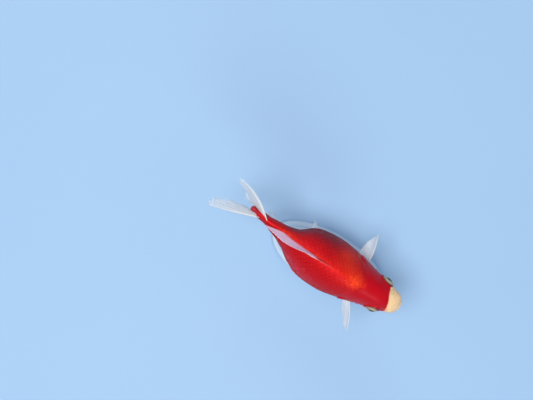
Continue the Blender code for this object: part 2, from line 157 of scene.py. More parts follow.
def flesh(share, angle):
    """The smooth surface of the straight body, at shares of its length and angles up from its left side."""
    middle = curve(WIDEST_HEIGHT, share)
    rounding = np.sqrt(1 - (1 - np.clip(share / NOSE_ROUNDING, 0, 1)) ** 2)
    half = curve(HALF_WIDTH, share) * rounding
    up = (curve(BACK, share) - middle) * rounding
    down = (middle - curve(BELLY, share)) * rounding
    c, s = np.cos(angle), np.sin(angle)
    crest = np.where(s > 0, curve(BACK_FULLNESS, share), curve(BELLY_FULLNESS, share))
    full = SIDE_FULLNESS + (crest - SIDE_FULLNESS) * s * s
    y = half * signed_power(c, 2 / full)
    z = np.where(s > 0, up, down) * signed_power(s, 2 / full)
    groove = curve(FLANK_GROOVE, share) * bell(middle + z - GROOVE_HEIGHT, GROOVE_SPREAD)
    y += curve(RIDGE_SIDE, share) * np.clip(z / np.maximum(up, 1e-6), 0, 1) ** 2 - groove * c
    return np.stack((SNOUT_X - BODY_LENGTH * share, y, middle + z), 1)


# The mouth: a small arched slit across the blunt front of the snout, between two lips.
MOUTH_TIP, MOUTH_SLOPE, MOUTH_HALF, MOUTH_ARCH = (36.6, -0.5), math.radians(14), 2.5, 0.5
NOSTRIL, NOSTRIL_STEP = np.array((31.1, 4.4, 4.2)), np.array((0.62, -0.1, -0.25))
GILL_MIDDLE, GILL_HALF, GILL_SLANT = (15.6, -2.6), (6.4, 9.2), 0.36
CHEEK_MIDDLE, CHEEK_HALF, CHEEK_SLANT = (23.0, -3.0), (4.9, 8.6), 0.3


def slanted_oval(x, z, middle, half, slant):
    """About how many millimetres outside a slanting oval a point of the side of the head lies."""
    across = (x - middle[0] + slant * (z - middle[1])) / half[0]
    return (np.hypot(across, (z - middle[1]) / half[1]) - 1) * half[0]


def from_gill(x, z):
    """How far outside the gill cover's outline a point lies, and how far behind its slanting middle."""
    behind = GILL_MIDDLE[0] - GILL_SLANT * (z - GILL_MIDDLE[1]) - x
    return slanted_oval(x, z, GILL_MIDDLE, GILL_HALF, GILL_SLANT), behind


def from_mouth(x, y, z):
    """How far above the slit of the mouth a point lies, and how far from its line."""
    back, lift = math.cos(MOUTH_SLOPE), math.sin(MOUTH_SLOPE)
    above = -lift * (x - MOUTH_TIP[0]) + back * (z - MOUTH_TIP[1])
    above = above + MOUTH_ARCH * np.minimum(np.abs(y) / MOUTH_HALF, 1.4) ** 2
    return above, np.hypot(above, np.maximum(0.0, np.abs(y) - MOUTH_HALF))


def mouth_relief(x, y, z):
    above, away = from_mouth(x, y, z)
    near = soft_step(x, 29.0, 32.0)
    upper = (above > 0) * 1.0
    lips = (0.26 - 0.06 * upper) * bell(away - 0.62, 0.4)
    slit = -0.8 * bell(above, 0.19) * soft_step(MOUTH_HALF - np.abs(y), -0.4, 0.4)
    fold = -0.14 * bell(away - 1.7, 0.4) * (1 - 0.5 * upper)
    jaw = 0.2 * bell(away - 2.9, 0.9) * soft_step(np.abs(y), 1.5, 4.0) * (1 - 0.6 * upper)
    chin = -0.22 * bell(z + 6.6, 0.7) * soft_step(x, 24.0, 29.0) * soft_step(np.abs(y), 0.8, 2.4)
    bridge = -0.4 * bell(x - 31.0, 2.6) * soft_step(z, 1.0, 5.0)
    return near * (lips + slit + fold + jaw) + chin + bridge


def nostril_holes(points):
    """How far points lie from the front and from the rear hole of the nostril on their side."""
    from_nostril = folded(points) - NOSTRIL
    return [np.linalg.norm(from_nostril - step, axis=1) for step in (NOSTRIL_STEP, -NOSTRIL_STEP)]


def nostril_relief(points):
    away = np.linalg.norm(folded(points) - NOSTRIL, axis=1)
    front, rear = nostril_holes(points)
    flap = bell(points[:, 0] - NOSTRIL[0], 0.2) * bell(away, 0.62)
    return 0.16 * bell(away, 1.5) + 0.42 * flap - 0.6 * bell(front, 0.34) - 0.75 * bell(rear, 0.42)


def eye_relief(points):
    from_eye = folded(points) - EYE_CENTRE
    along = from_eye @ EYE_AXIS
    off = np.linalg.norm(from_eye - along[:, None] * EYE_AXIS, axis=1)
    near = soft_step(along, -3.0, -1.0)
    rim = 0.5 * bell(off - 3.75, 0.5) - 0.14 * bell(off - 4.6, 0.35) + 0.1 * bell(off - 5.2, 0.45)
    return near * (rim - 1.4 * (1 - soft_step(off, 2.3, 3.15)))


def gill_relief(x, z, side):
    """The gill cover with its free rear edge, its fine spokes, and the ridge in front of it."""
    d, behind = from_gill(x, z)
    rear = soft_step(behind, -0.5, 3.6)
    plate = 0.4 * soft_step(-d, -0.05, 0.14) * bell(np.minimum(d + 0.3, 0), 2.6)
    slit = -0.5 * bell(d - 0.28, 0.24)
    flap = -0.12 * bell(d + 1.1, 0.3)
    spoke = np.arctan2(z - 2.5, GILL_MIDDLE[0] + 4.5 - x)
    spokes = 0.035 * np.sin(spoke * 34) * soft_step(-d, 1.2, 2.0) * (1 - soft_step(-d, 4.0, 6.0))
    cheek = slanted_oval(x, z, CHEEK_MIDDLE, CHEEK_HALF, CHEEK_SLANT)
    bar = soft_step(CHEEK_MIDDLE[0] + 0.5 - x, 0.0, 2.0) * soft_step(3.6 - z, 0.0, 3.0)
    ridge = bar * (0.16 * bell(cheek + 0.5, 0.7) - 0.2 * bell(cheek - 0.4, 0.4))
    return side * (rear * (plate + slit + flap + spokes) + ridge)


# Where the flesh swells at the roots of the pectoral, pelvic and anal fins, how wide and how high.
FIN_ROOTS = (
    ((12.2, 8.9, -9.8), 1.7, 0.5), ((-4.4, 4.6, -15.2), 1.9, 0.45), ((-23.6, 0.0, -11.4), 1.2, 0.5),
)


def relief(points, share):
    """How far the skin stands out from the smooth body, in millimetres."""
    x, y, z = points.T
    side = soft_step(np.abs(y), 2.0, 4.0)
    out = gill_relief(x, z, side)
    head = share < HEAD_SHARE
    face = points[head]
    out[head] += mouth_relief(*face.T) + nostril_relief(face) + eye_relief(face)
    for place, spread, rise in FIN_ROOTS:
        out += rise * bell(np.linalg.norm(folded(points) - place, axis=1), spread)
    out += 0.05 * np.sin(x * 0.9 + np.sin(z * 0.5)) * np.sin(z * 0.7 + 1.0) * soft_step(share, 0.05, 0.2)
    return out


def surface(share, angle, lift=0.0):
    """The skin, raised by lift millimetres, as points of the posed fish."""
    share, angle = np.asarray(share, float), np.asarray(angle, float)
    near, turn = 0.0004, 0.004
    here = flesh(share, angle)
    ahead = flesh(np.maximum(share - near, 1e-5), angle)
    behind = flesh(share + near, angle)
    over = flesh(share, angle + turn) - flesh(share, angle - turn)
    normal = np.cross(over, behind - ahead)
    normal /= np.maximum(np.linalg.norm(normal, axis=1), 1e-9)[:, None]
    normal *= np.sign(np.sum(normal * (here - spine_inside(share)), 1))[:, None]
    out = relief(here, share) - SKIN_INSET + lift
    return posed(here + normal * out[:, None])


def spine_inside(share):
    """Points well inside the body, which the surface's normals point away from."""
    middle = curve(WIDEST_HEIGHT, share)
    x = SNOUT_X - BODY_LENGTH * np.maximum(share, 0.02) - 2.0 * (share < 0.05)
    return np.stack((x, 0 * x, middle), 1)


# ---- making pieces ----

def select_only(piece):
    bpy.ops.object.select_all(action="DESELECT")
    piece.select_set(True)
    bpy.context.view_layer.objects.active = piece


@contextmanager
def editing(piece):
    """Edit mode, with all of the piece selected."""
    select_only(piece)
    bpy.ops.object.mode_set(mode="EDIT")
    bpy.ops.mesh.select_all(action="SELECT")
    yield
    bpy.ops.object.mode_set(mode="OBJECT")


def added(name, data):
    made = bpy.data.objects.new(name, data)
    bpy.context.collection.objects.link(made)
    return made


def corners(piece):
    co = np.zeros(len(piece.data.vertices) * 3, np.float32)
    piece.data.vertices.foreach_get("co", co)
    return co.reshape(-1, 3).astype(float)


def place_corners(piece, points):
    piece.data.vertices.foreach_set("co", np.asarray(points, np.float32).ravel())
    piece.data.update()


def grid(name, columns, rows):
    """A flat grid to be shaped, and each corner's column and row."""
    bpy.ops.mesh.primitive_grid_add(x_subdivisions=columns, y_subdivisions=rows, size=2)
    made = bpy.context.object
    made.name = made.data.name = name
    flat = np.round(corners(made), 5)
    column = np.unique(flat[:, 0], return_inverse=True)[1]
    row = np.unique(flat[:, 1], return_inverse=True)[1]
    return made, column, row


def weld(piece, distance=0.002 * MM):
    """Merges doubled corners and turns all faces outwards."""
    with editing(piece):
        bpy.ops.mesh.remove_doubles(threshold=distance)
        bpy.ops.mesh.normals_make_consistent(inside=False)


def turned(name, outline, steps):
    """A piece spun about the upright axis from an outline of (radius, height) in metres."""
    mesh = bpy.data.meshes.new(name)
    mesh.from_pydata([(x, 0.0, z) for x, z in outline], [(k, k + 1) for k in range(len(outline) - 1)], [])
    piece = added(name, mesh)
    with editing(piece):
        bpy.ops.mesh.spin(steps=steps, angle=2 * math.pi, center=(0, 0, 0), axis=(0, 0, 1))
    return piece


def smooth_shaded(piece, angle=None):
    select_only(piece)
    if angle is None:
        bpy.ops.object.shade_smooth()
    else:
        bpy.ops.object.shade_smooth_by_angle(angle=math.radians(angle))


def apply_all(piece):
    select_only(piece)
    for step in list(piece.modifiers):
        bpy.ops.object.modifier_apply(modifier=step.name)


def note(piece, name, values):
    """Keeps a number, or three, for each corner, for the materials to read."""
    values = np.asarray(values, np.float32)
    kind = "FLOAT" if values.ndim == 1 else "FLOAT_VECTOR"
    kept = piece.data.attributes.new(name, kind, "POINT")
    kept.data.foreach_set("value" if values.ndim == 1 else "vector", values.ravel())


def finished(piece, paint, slot, *nodes):
    piece.data.materials.clear()
    piece.data.materials.append(paint)
    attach(piece, "root")
    if nodes:
        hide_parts(*nodes)


# ---- materials ----

def rgb(red, green, blue):
    """A screen colour, as the amount of light that Blender's sockets take."""
    def light(value):
        value /= 255
        return value / 12.92 if value <= 0.04045 else ((value + 0.055) / 1.055) ** 2.4
    return (light(red), light(green), light(blue), 1.0)


def math_node(operation, flipped=False):
    """A method of Wire that adds this kind of Math node, with the terms in order or flipped."""
    def method(*terms):
        ordered = terms[::-1] if flipped else terms
        return terms[0].paint.node("ShaderNodeMath", {"operation": operation}, dict(enumerate(ordered)))
    return method


class Wire:
    """The output of a node, on which Python's sums add Math nodes."""

    __add__ = __radd__ = math_node("ADD")
    __mul__ = __rmul__ = math_node("MULTIPLY")
    __sub__, __rsub__ = math_node("SUBTRACT"), math_node("SUBTRACT", flipped=True)
    __truediv__, __abs__ = math_node("DIVIDE"), math_node("ABSOLUTE")
    wave, exponential = math_node("SINE"), math_node("EXPONENT")
    most, least = math_node("MAXIMUM"), math_node("MINIMUM")

    def __init__(self, paint, socket):
        self.paint, self.socket = paint, socket

    def step(self, low, high):
        """From 0 at low to 1 at high, softly."""
        settings = {"interpolation_type": "SMOOTHSTEP"}
        if low < high:
            return self.paint.node("ShaderNodeMapRange", settings, {0: self, 1: low, 2: high})
        return 1 - self.paint.node("ShaderNodeMapRange", settings, {0: self, 1: high, 2: low})

    def bell(self, spread):
        """1 where this is 0, falling off softly over the spread."""
        share = self / spread
        return (0 - share * share).exponential()


class Paint:
    """A material under construction."""

    def __init__(self, name):
        self.material = bpy.data.materials.new(name)
        self.material.use_nodes = True
        self.tree = self.material.node_tree
        self.shader = self.tree.nodes["Principled BSDF"]

    def node(self, kind, settings=None, sockets=None, output=0):
        made = self.tree.nodes.new(kind)
        for name, value in (settings or {}).items():
            setattr(made, name, value)
        self.fill(made, sockets or {})
        return Wire(self, made.outputs[output])

    def fill(self, made, sockets):
        for name, value in sockets.items():
            if isinstance(value, Wire):
                self.tree.links.new(value.socket, made.inputs[name])
            else:
                made.inputs[name].default_value = value

    def place(self):
        """Where a point of the model lies, in millimetres."""
        vector = self.node("ShaderNodeTexCoord", output=3)
        return self.node("ShaderNodeVectorMath", {"operation": "SCALE"}, {0: vector, "Scale": 1 / MM})

    def split(self, vector):
        made = self.node("ShaderNodeSeparateXYZ", None, {0: vector})
        return [Wire(self, made.socket.node.outputs[k]) for k in range(3)]

    def joined(self, x, y):
        return self.node("ShaderNodeCombineXYZ", None, {0: x, 1: y})

    def kept(self, name, vector=False):
        """A number that the mesh keeps for each of its corners."""
        return self.node("ShaderNodeAttribute", {"attribute_name": name}, output=1 if vector else 2)

    def noise(self, vector, size, detail=3.0):
        """Soft noise about a half, in spots of about this size in millimetres."""
        return self.node("ShaderNodeTexNoise", None, {
            "Vector": vector, "Scale": 1 / size, "Detail": detail, "Roughness": 0.55,
        })

    def cells(self, vector, size):
        return self.node("ShaderNodeTexVoronoi", None, {"Vector": vector, "Scale": 1 / size})

    def stretched(self, vector, along):
        return self.node("ShaderNodeVectorMath", {"operation": "MULTIPLY"}, {0: vector, 1: along})

    def mix(self, share, first, second):
        return self.node("ShaderNodeMix", {"data_type": "RGBA"}, {0: share, 6: first, 7: second}, output=2)

    def bump(self, height, millimetres):
        return self.node("ShaderNodeBump", None, {"Height": height, "Distance": millimetres * MM})

    def done(self, **sockets):
        self.fill(self.shader, {name.replace("_", " "): value for name, value in sockets.items()})
        return self.material


HOT_ORANGE, RIDGE_RED, BACK_RED = rgb(252, 70, 26), rgb(226, 18, 20), rgb(196, 8, 20)
FLANK_RED, MAROON, HEAD_RED = rgb(172, 2, 22), rgb(104, 10, 30), rgb(186, 0, 18)
BELLY_PEARL, BLUSH, PINK = rgb(240, 214, 196), rgb(226, 92, 74), rgb(230, 46, 66)
NOSE_CREAM, NOSE_SHADE, MOUTH_PINK = rgb(248, 212, 160), rgb(236, 176, 126), rgb(218, 112, 100)
PINK_GREY, LIP_PINK, CREASE_SHADE_RED = rgb(158, 60, 76), rgb(222, 104, 100), rgb(96, 10, 14)
SCALE_SHADE, SCALE_GLINT, FLECK_PINK = rgb(112, 6, 16), rgb(255, 170, 130), rgb(244, 168, 176)
RAY_WHITE, EDGE_WHITE, JOINT_GREY = rgb(246, 242, 240), rgb(246, 240, 232), rgb(176, 170, 172)
GLASS_WHITE = rgb(222, 234, 242)
IRIS_GOLD, IRIS_BROWN, IRIS_STREAK = rgb(214, 178, 112), rgb(158, 118, 62), rgb(96, 66, 36)
IRIS_SILVER_HIGHLIGHT, PUPIL_RING, PUPIL_BLACK = rgb(204, 206, 196), rgb(240, 196, 96), rgb(14, 9, 8)
IRIS_RIM, SOCKET_RED = rgb(92, 34, 26), rgb(110, 8, 14)
NAPE_X, NAPE_SLOPE = 17.3, 0.85


def markings(paint, vector, share, height, side):
    """The fish's colours: red over the back, cream on the nose and pearly below.

    share runs from snout to tail, height from -1 on the belly to 1 on the ridge, and side is 1 on the
    left and -1 on the right.
    """
    x, y, z = paint.split(vector)
    broad = paint.noise(vector, 9.0)
    fine = paint.noise(vector, 2.2)
    ridge = height.step(0.0, 0.6)
    # Painted light: the red is lighter over the back and darker down the flanks, as under light from above.
    red = paint.mix(height.step(0.1, 0.85), FLANK_RED, BACK_RED)
    left_rear = side.step(0.42, 0.88) * share.step(0.4, 0.54) * share.step(0.86, 0.76)
    red = paint.mix(left_rear * 0.8, red, MAROON)
    # A painted highlight in hot orange on the front of the back, behind the head.
    shoulder = (x - 4.0).bell(5.0) * (y - 7.5).bell(3.5)
    warm_highlight = shoulder.most((x - 6.0).bell(6.5) * (y - 3.0).bell(4.0)) * ridge
    red = paint.mix(warm_highlight * 0.42, red, HOT_ORANGE)
    # A painted highlight in brighter red runs along the ridge of the back.
    ridge_highlight = (side + 0.04 * (broad - 0.5)).bell(0.24) * ridge * share.step(0.26, 0.36) * share.step(1.0, 0.9)
    red = paint.mix(ridge_highlight * 0.65, red, RIDGE_RED)
    # A thin painted highlight in orange runs just beside the ridge.
    line = (side - 0.05).bell(0.05) * ridge * share.step(0.28, 0.34) * share.step(0.8, 0.5)
    red = paint.mix(line * 0.25, red, HOT_ORANGE)
    # Painted highlights in orange: a patch on the back just behind the head, and a streak beside the rear of
    # the back fin.
    beside_fin_highlight = (side - 0.22).bell(0.2) * ridge * (share - 0.8).bell(0.05)
    nape = (x - 11.0 + 0.6 * (broad - 0.5)).bell(3.2) * (y + 0.3).bell(2.4) * ridge
    red = paint.mix(nape.most(beside_fin_highlight * 0.6), red, HOT_ORANGE)
    head = (x + NAPE_SLOPE * abs(y) + 1.2 * (broad - 0.5)).step(NAPE_X - 1.4, NAPE_X + 0.4)
    red = paint.mix(head * 0.94, red, HEAD_RED)
    red = paint.mix(fine.step(0.35, 0.7) * 0.2, red, FLANK_RED)
    # Pinker scales with pale flecks cover the swelling behind the middle of the right flank.
    swollen = (share - 0.64).bell(0.12) * side.step(-0.55, -0.9)
    body = paint.mix(swollen * (0.3 + 0.45 * fine.step(0.4, 0.65)), red, PINK)
    low = height - 0.34 * (broad - 0.5) - 0.3 * (fine - 0.5)
    body = paint.mix(low.step(-0.3, -0.62) * 0.8, body, BLUSH)
    body = paint.mix(share.step(0.97, 1.02) * 0.5, body, PINK_GREY)
    pale = low.step(-0.55, -0.86)
    body = paint.mix(pale, body, paint.mix(x.step(14.0, 29.0), BELLY_PEARL, NOSE_CREAM))
    nose = x + 0.36 * (y + 4.5).most(0.0) + 0.75 * (AXIS_HEIGHT - 1.5 - z).most(0.0)
    nose = (nose + 2.0 * (broad - 0.5) + 1.2 * (fine - 0.5)).step(30.3, 31.1)
    body = paint.mix(nose.step(0.0, 0.4) * (1 - pale), body, HOT_ORANGE)
    cream = paint.mix(fine.step(0.3, 0.75) * 0.6, NOSE_CREAM, NOSE_SHADE)
    blotch = (x - 29.6 + 2.0 * (fine - 0.5)).bell(1.5) * (y + 5.2).bell(1.5)
    cream = paint.mix(blotch * 0.7, cream, LIP_PINK)
    return paint.mix(nose, body, cream)


def skin_paint():
    paint = Paint("wet_goldfish_skin")
    share, height, side = paint.split(paint.kept("lie", True))
    vector = paint.place()
    colour = markings(paint, vector, share, height, side)
    fine = paint.noise(vector, 2.2)
    # Painted shade darkens the mouth's slit, the gill slit and the pits of the nostrils.
    colour = paint.mix(paint.kept("crease_shade").step(0.1, 1.0) * 0.7, colour, CREASE_SHADE_RED)
    colour = paint.mix(paint.kept("lip") * 0.55, colour, MOUTH_PINK)
    pores = paint.cells(vector, 0.55)
    height_map = 0.5 * fine + 0.35 * pores + 0.6 * paint.noise(vector, 0.35, 2.0)
    return paint.done(
        Base_Color=colour, Roughness=0.36 + 0.16 * fine, Normal=paint.bump(height_map, 0.09),
        Coat_Weight=0.05, Coat_Roughness=0.18, Specular_IOR_Level=0.12,
    )


def scale_paint():
    paint = Paint("goldfish_scales")
    share, height, side = paint.split(paint.kept("lie", True))
    across, along, chance = paint.split(paint.kept("on_scale", True))
    colour = markings(paint, paint.kept("root", True), share, height, side)
    vector = paint.place()
    grain = paint.noise(vector, 0.5)
    # Each scale gets painted shade where it goes under the one ahead, and a thin painted highlight on its
    # free edge.
    place = paint.joined(across, along * along.step(-0.2, 0.0))
    ring = paint.node("ShaderNodeVectorMath", {"operation": "LENGTH"}, {0: place}, output=1)
    colour = paint.mix(along.step(0.5, -0.1) * 0.2, colour, SCALE_SHADE)
    colour = paint.mix(ring.step(0.84, 1.0) * 0.08, colour, SCALE_GLINT)
    colour = paint.mix(chance.least(1.0) * 0.08, colour, RIDGE_RED)
    right_rear = side.step(-0.55, -0.85) * (share - 0.64).bell(0.1)
    flecks = right_rear * paint.noise(vector, 0.9).step(0.52, 0.66) * chance.step(0.2, 0.9)
    colour = paint.mix(flecks * 0.4, colour, FLECK_PINK)
    # The scales of the lateral line, whose chance is raised by 2, each have a pore and a short canal.
    on_line = (chance - 2.0).step(-1.0, -0.5) * across.bell(0.2)
    colour = paint.mix(on_line * (along - 0.55).bell(0.25) * 0.3, colour, MAROON)
    canal = on_line * along.step(0.9, 0.5)
    rings = (ring * 46.0).wave()
    fan = (across / (along + 1.3) * 40.0).wave()
    relief_map = 0.3 * rings + 0.3 * fan * along.step(0.0, 0.6) + 0.6 * grain + 1.4 * canal
    return paint.done(
        Base_Color=colour, Roughness=0.34 + 0.2 * grain + 0.1 * chance.least(1.0),
        Metallic=0.08 + 0.14 * ring.step(0.2, 0.9), Normal=paint.bump(relief_map, 0.02),
        Coat_Weight=0.04, Coat_Roughness=0.18, Specular_IOR_Level=0.1,
    )


def fin_paint(name, root_colour, root_reach, web_colour, clear, front=None, pale_edge=False):
    """Milky rays with a clear skin between them, which thins out towards the tips.

    clear holds how solid the web is at its root and at its tip. front, for the fin on the back, says
    where it turns from the red of the ridge to white. pale_edge keeps the root's colour off the first ray.
    """
    paint = Paint(name)
    ray, reach, edge = paint.split(paint.kept("fin", True))
    vector = paint.place()
    cloud = paint.noise(vector, 3.0)
    grain = paint.noise(vector, 0.4)
    colour = paint.mix(ray * 0.7, web_colour, RAY_WHITE)
    colour = paint.mix(edge, colour, EDGE_WHITE)
    rooted = (reach + 0.2 * (cloud - 0.5)).step(root_reach, root_reach * 0.3)
    if pale_edge:
        rooted = rooted * (1 - 0.7 * edge)
    if front:
        x = paint.split(vector)[0]
        rooted = rooted.most((x + 2.0 * (cloud - 0.5)).step(*front) * (1 - 0.15 * reach))
    colour = paint.mix(rooted, colour, root_colour)
    joints = (reach * 150.0).wave()
    colour = paint.mix(joints.step(0.5, 1.0) * ray * 0.25, colour, JOINT_GREY)
    web = clear[0] + (clear[1] - clear[0]) * reach
    solid = web + ray * (0.34 - 0.22 * reach) + edge * (0.6 - 0.35 * reach) + rooted * 0.6
    solid = solid + 0.12 * (cloud - 0.5)
    veins = 0.7 * ray + 0.2 * joints * ray + 0.25 * grain
    return paint.done(
        Base_Color=colour, Roughness=0.3 + 0.2 * grain, Alpha=solid.least(1.0).most(0.03),
        Normal=paint.bump(veins, 0.06), Coat_Weight=0.2, Coat_Roughness=0.15,
    )


def eye_paint():
    paint = Paint("fish_eye")
    ring, turn, up = paint.split(paint.kept("gaze", True))
    vector = paint.place()
    streak = paint.noise(paint.joined(turn * 14.0, ring * 2.0), 1.0, 4.0)
    fleck = paint.noise(vector, 0.5)
    cloud = paint.noise(vector, 1.6)
    iris = paint.mix(cloud.step(0.3, 0.7), IRIS_GOLD, IRIS_BROWN)
    iris = paint.mix(streak.step(0.35, 0.75) * 0.35, iris, IRIS_STREAK)
    # The top of the iris is silvery: partly the iris's own silver, partly a painted highlight from the light
    # above.
    iris = paint.mix(up.step(0.1, 0.8) * 0.6, iris, IRIS_SILVER_HIGHLIGHT)
    iris = paint.mix((ring - 0.575).bell(0.035) * 0.8, iris, PUPIL_RING)
    iris = paint.mix(ring.step(0.88, 1.02) * 0.8, iris, IRIS_RIM)
    iris = paint.mix(ring.step(1.02, 1.07), iris, SOCKET_RED)
    pupil = (ring + 0.02 * (fleck - 0.5)).step(0.54, 0.5)
    colour = paint.mix(pupil, iris, PUPIL_BLACK)
    return paint.done(
        Base_Color=colour, Metallic=0.35 * ring.step(0.54, 0.6) * ring.step(1.0, 0.9),
        Roughness=0.26 + 0.1 * streak, Coat_Weight=0.4, Coat_Roughness=0.03, Specular_IOR_Level=0.15,
        Normal=paint.bump(streak * ring.step(0.54, 0.62), 0.05),
    )


def stand_paints():
    paint = Paint("stand_satin_paint")
    vector = paint.place()
    peel = paint.noise(vector, 0.7, 2.0)
    cloud = paint.noise(vector, 14.0)
    dust = paint.noise(vector, 0.25, 4.0)
    colour = paint.mix(cloud.step(0.3, 0.7) * 0.5, rgb(170, 192, 214), rgb(160, 183, 206))
    colour = paint.mix(dust.step(0.62, 0.8) * 0.3, colour, rgb(136, 152, 170))
    satin = paint.done(Base_Color=colour, Roughness=0.4 + 0.14 * peel, Normal=paint.bump(peel, 0.03))
    paint = Paint("stand_brushed_steel")
    vector = paint.place()
    lines = paint.noise(paint.stretched(vector, (1.0, 1.0, 26.0)), 1.5, 4.0)
    smudge = paint.noise(vector, 4.0)
    colour = paint.mix(lines, rgb(196, 197, 200), rgb(150, 152, 156))
    steel = paint.done(
        Base_Color=colour, Metallic=1.0, Roughness=0.24 + 0.12 * smudge + 0.06 * lines,
        Normal=paint.bump(lines, 0.012),
    )
    paint = Paint("stand_clear_pad")
    vector = paint.place()
    haze = paint.noise(vector, 0.8)
    colour = paint.mix(haze, rgb(232, 232, 230), rgb(206, 208, 210))
    pad = paint.done(Base_Color=colour, Roughness=0.3 + 0.2 * haze)
    return satin, steel, pad


# ---- skin ----

FACE_END = 0.36
NOSE_RINGS, FACE_RINGS, TRUNK_RINGS, END_RINGS, ROUND_THE_BODY = 52, 176, 92, 8, 224


def skin_stations():
    """Shares of the length for the rings of the skin, close together round the mouth and the head."""
    nose = NOSE_ROUNDING * (1 - np.cos(np.linspace(0, math.pi / 2, NOSE_RINGS)[:-1]))
    face = np.linspace(NOSE_ROUNDING, FACE_END, FACE_RINGS)[:-1]
    trunk = np.linspace(FACE_END, SKIN_END, TRUNK_RINGS)
    return np.concatenate((nose, face, trunk))


def make_skin(paint):
    stations = skin_stations()
    last = len(stations) - 1
    skin, column, row = grid("goldfish_skin", last + END_RINGS, ROUND_THE_BODY)
    share = stations[np.minimum(column, last)]
    angle = 2 * math.pi * row / row.max()
    points = surface(share, angle)
    # The last rings draw in to a rounded wedge that ends between the two halves of the tail.
    straight = flesh(share, angle)
    closing = np.clip((column - last) / END_RINGS, 0, 1) * math.pi / 2
    slim = 1 - np.cos(closing)
    wedge = straight.copy()
    wedge[:, 0] -= STEM_END_LENGTH * np.sin(closing)
    wedge[:, 1] *= 1 - slim
    wedge[:, 2] = STEM_END_HEIGHT + (straight[:, 2] - STEM_END_HEIGHT) * (1 - 0.3 * slim)
    points = posed(wedge) + (points - posed(straight)) * (1 - slim)[:, None]
    tip = posed(np.array([(SNOUT_X - SKIN_INSET, 0.0, -0.6)]))[0]
    points[column == 0] = tip + (-0.5 * MM, 0, 0)
    place_corners(skin, points)
    x, y, z = straight.T
    note(skin, "lie", np.stack((share, np.sin(angle), np.cos(angle)), 1))
    above, away = from_mouth(x, y, z)
    # Where the painted shade falls: in the mouth's slit, the gill slit and the nostrils' pits.
    in_slit = bell(above, 0.22) * soft_step(MOUTH_HALF - np.abs(y), -0.4, 0.4) * soft_step(x, 31.5, 33.0)
    gill, behind = from_gill(x, z)
    in_gill = 0.8 * bell(gill - 0.32, 0.2) * soft_step(behind, -1.8, 1.2) * soft_step(np.abs(y), 3.0, 5.0)
    front, rear = nostril_holes(straight)
    pits = bell(rear, 0.4) + bell(front, 0.32)
    note(skin, "crease_shade", np.clip(in_slit + in_gill + pits, 0, 1))
    to_the_right = soft_step(-y, -1.0, 3.5)
    note(skin, "lip", bell(away, 1.1) * soft_step(x, 32.0, 33.5) * (0.35 + 0.65 * to_the_right))
    weld(skin)
    smooth_shaded(skin)
    finished(
        skin, paint, "skin_red", "snout", "jaw_lower", "head", "gill_cover_left", "gill_cover_right",
        "trunk", "tail_stem",
    )


# ---- scales ----

class Side:
    """One side of the body, laid out in millimetres up and down from its lateral line."""

    def __init__(self, side):
        self.side = side
        self.shares = np.linspace(0.2, SKIN_END, 260)
        self.reach = np.linspace(-46, 46, 461)
        turns = np.radians(np.linspace(-170, 170, 681))
        rows, self.ridge, self.belly = [], [], []
        for share in self.shares:
            points = flesh(np.full(len(turns), share), self.angle(turns))
            steps = np.linalg.norm(np.diff(points, axis=0), axis=1)
            gone = np.concatenate(([0.0], np.cumsum(steps)))
            flank = np.abs(turns) < np.radians(75)
            line = np.interp(curve(LATERAL_LINE, share), points[flank, 2], gone[flank])
            rows.append(np.interp(self.reach, gone - line, turns))
            self.ridge.append(np.interp(math.pi / 2, turns, gone) - line)
            self.belly.append(np.interp(-math.pi / 2, turns, gone) - line)
        self.table = np.array(rows)

    def angle(self, turn):
        return turn if self.side > 0 else math.pi - turn

    def turn(self, share, up):
        """The angle round the body that lies up millimetres above the lateral line."""
        a, b = (
            np.clip((value - steps[0]) / (steps[1] - steps[0]), 0, len(steps) - 1.001)
            for value, steps in ((share, self.shares), (up, self.reach))
        )
        i, j = a.astype(int), b.astype(int)
        a, b = a - i, b - j
        low = self.table[i, j] * (1 - b) + self.table[i, j + 1] * b
        high = self.table[i + 1, j] * (1 - b) + self.table[i + 1, j + 1] * b
        return low * (1 - a) + high * a


def one_scale():
    """A thin rounded shield: corners as (along, across, 0 on top or -1 below), and its faces."""
    shield, column, row = grid("one_scale", 4, 6)
    s, t = column / column.max(), row / row.max() * 2 - 1
    along = 1 - 2.0 * (1 - s) ** 1.15
    reach = np.sqrt(np.clip(1 - np.clip(along, 0, 1) ** 2, 0.0, 1))
    # The free edge is a half round, and the hidden front narrows a little.
    across = t * np.where(along > 0, np.maximum(reach, 0.12), 1 - 0.18 * np.clip(-along, 0, 1))
    along = np.where(along > 0.98, np.sqrt(1 - (across * 0.9) ** 2), along)
    place_corners(shield, np.stack((along, across, 0 * along), 1))
    with editing(shield):
        bpy.ops.mesh.extrude_region_move(TRANSFORM_OT_translate={"value": (0, 0, -1)})
        bpy.ops.mesh.select_all(action="SELECT")
        bpy.ops.mesh.normals_make_consistent(inside=False)
    points = corners(shield)
    faces = np.array([tuple(face.vertices) for face in shield.data.polygons])
    bpy.data.objects.remove(shield)
    return points, faces


def scale_places(side, layout):
    """Where each scale is rooted: share, up, length, height, and 2 if it is on the lateral line."""
    half_column, share, places = 0, 0.27, []
    while share < 1.012:
        length, height = float(curve(SCALE_LENGTH, share)), float(curve(SCALE_HEIGHT, share))
        ridge = np.interp(share, layout.shares, layout.ridge)
        belly = np.interp(share, layout.shares, layout.belly)
        for k in range(-30, 31):
            up = k * height
            if (half_column + k) % 2 == 0 and belly + 0.4 * height < up < ridge - 0.4 * height:
                places.append((share, up, length, height, 2.0 * (k == 0)))
        if half_column % 2 == 0 and side > 0:
            places += [(share, up, length, height, 0.0) for up in (ridge, belly)]
        share += length / 2 / BODY_LENGTH
        half_column += 1
    return np.array(places)


def bare(points):
    """True on the head and the gill covers, which carry no scales."""
    x, y, z = points.T
    on_nape = x + NAPE_SLOPE * np.abs(y) * (z > 0) > NAPE_X
    return on_nape | (from_gill(x, z)[0] < 1.0) | (x > FIRST_SCALE_X)


